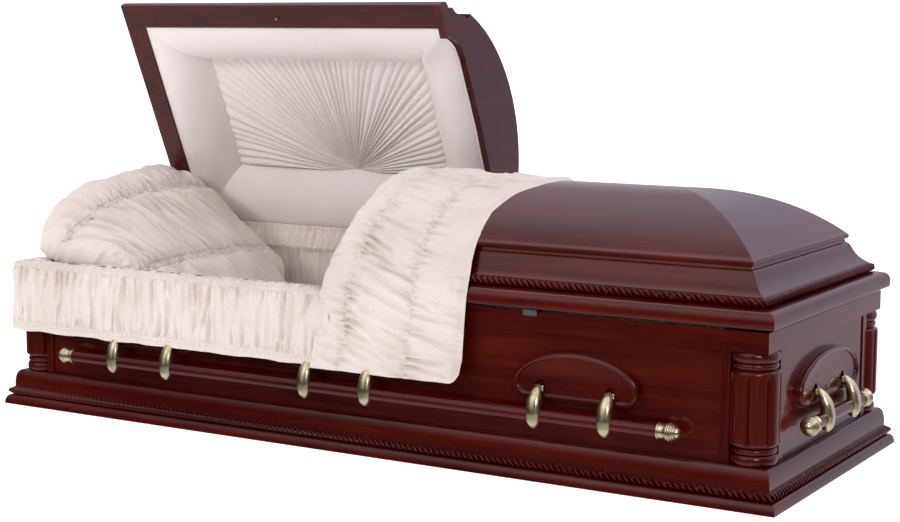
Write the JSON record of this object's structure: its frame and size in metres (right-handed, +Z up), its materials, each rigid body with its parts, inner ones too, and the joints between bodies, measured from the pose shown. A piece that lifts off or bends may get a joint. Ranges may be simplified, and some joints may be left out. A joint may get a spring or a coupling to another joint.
{
  "type": "funeral casket",
  "caption": "Half-couch hardwood funeral casket with its head lid open, crepe lining, pillow and throw, corner columns and wooden swing bars.",
  "frame": {"origin": "centre of the underside of the box", "axes": "+X to the foot end, +Y to the hinged back, +Z up; the front is at -Y"},
  "size_m": [2.15, 0.8834, 1.0356],
  "materials": {
    "mahogany": "high gloss dark red-brown lacquer over fine mahogany grain",
    "steel": "plain zinc-plated steel",
    "crepe": "matt ivory crepe, shirred in bands",
    "suede": "matt ivory padded suede cloth"
  },
  "bodies": {
    "box": {"bottom_board": "mahogany", "column_back_foot": "mahogany", "column_back_head": "mahogany", "column_front_foot": "mahogany", "column_front_head": "mahogany", "corner_post_back_foot": "mahogany", "corner_post_back_head": "mahogany", "corner_post_front_foot": "mahogany", "corner_post_front_head": "mahogany", "foot_lid_hinge_box_leaf": "steel", "head_lid_hinge_box_leaf": "steel", "lock_keeper": "steel", "mattress": "crepe", "panel_back": "mahogany", "panel_foot": "mahogany", "panel_front": "mahogany", "panel_head": "mahogany", "pillow": "crepe", "plaque_back_foot": "mahogany", "plaque_back_head": "mahogany", "plaque_back_middle": "mahogany", "plaque_foot": "mahogany", "plaque_front_foot": "mahogany", "plaque_front_head": "mahogany", "plaque_front_middle": "mahogany", "plaque_head": "mahogany", "plinth_back": "mahogany", "plinth_foot": "mahogany", "plinth_front": "mahogany", "plinth_head": "mahogany", "plinth_rope": "mahogany", "rail_back": "mahogany", "rail_foot": "mahogany", "rail_front": "mahogany", "rail_head": "mahogany", "skirt": "crepe", "wall_lining": "crepe"},
    "head_lid": {"head_lid_crown": "mahogany", "head_lid_fan_panel": "suede", "head_lid_header_board": "mahogany", "head_lid_hinge_lid_leaf": "steel", "head_lid_rim": "mahogany", "head_lid_roll_back": "suede", "head_lid_roll_end": "suede", "head_lid_roll_front": "suede", "head_lid_roll_split": "suede", "head_lid_rope": "mahogany", "lock_stud": "steel"},
    "foot_lid": {"foot_lid_crown": "mahogany", "foot_lid_header_board": "mahogany", "foot_lid_hinge_lid_leaf": "steel", "foot_lid_lining": "crepe", "foot_lid_rim": "mahogany", "foot_lid_rope": "mahogany", "throw": "crepe"},
    "bar_front": {"swing_bar_front": "mahogany"},
    "bar_back": {"swing_bar_back": "mahogany"},
    "bar_head": {"swing_bar_head": "mahogany"},
    "bar_foot": {"swing_bar_foot": "mahogany"}
  },
  "joints": [
    {"name": "head_lid_hinge", "type": "hinge", "parent": "box", "child": "head_lid", "pos_m": [0, 0.35, 0.3645], "axis": [1, 0, 0], "range_deg": [0, 66.3], "deforming": ["pillow", "throw"]},
    {"name": "foot_lid_hinge", "type": "hinge", "parent": "box", "child": "foot_lid", "pos_m": [0, 0.35, 0.3645], "axis": [-1, 0, 0], "range_deg": [0, 66.3], "deforming": ["throw"]},
    {"name": "bar_front_swing", "type": "hinge", "parent": "box", "child": "bar_front", "pos_m": [0, -0.365, 0.206], "axis": [-1, 0, 0], "range_deg": [0, 75], "deforming": ["skirt", "throw"]},
    {"name": "bar_back_swing", "type": "hinge", "parent": "box", "child": "bar_back", "pos_m": [0, 0.365, 0.206], "axis": [1, 0, 0], "range_deg": [0, 75]},
    {"name": "bar_head_swing", "type": "hinge", "parent": "box", "child": "bar_head", "pos_m": [-1.035, 0, 0.206], "axis": [0, 1, 0], "range_deg": [0, 75], "deforming": ["skirt"]},
    {"name": "bar_foot_swing", "type": "hinge", "parent": "box", "child": "bar_foot", "pos_m": [1.035, 0, 0.206], "axis": [0, -1, 0], "range_deg": [0, 75]}
  ]
}
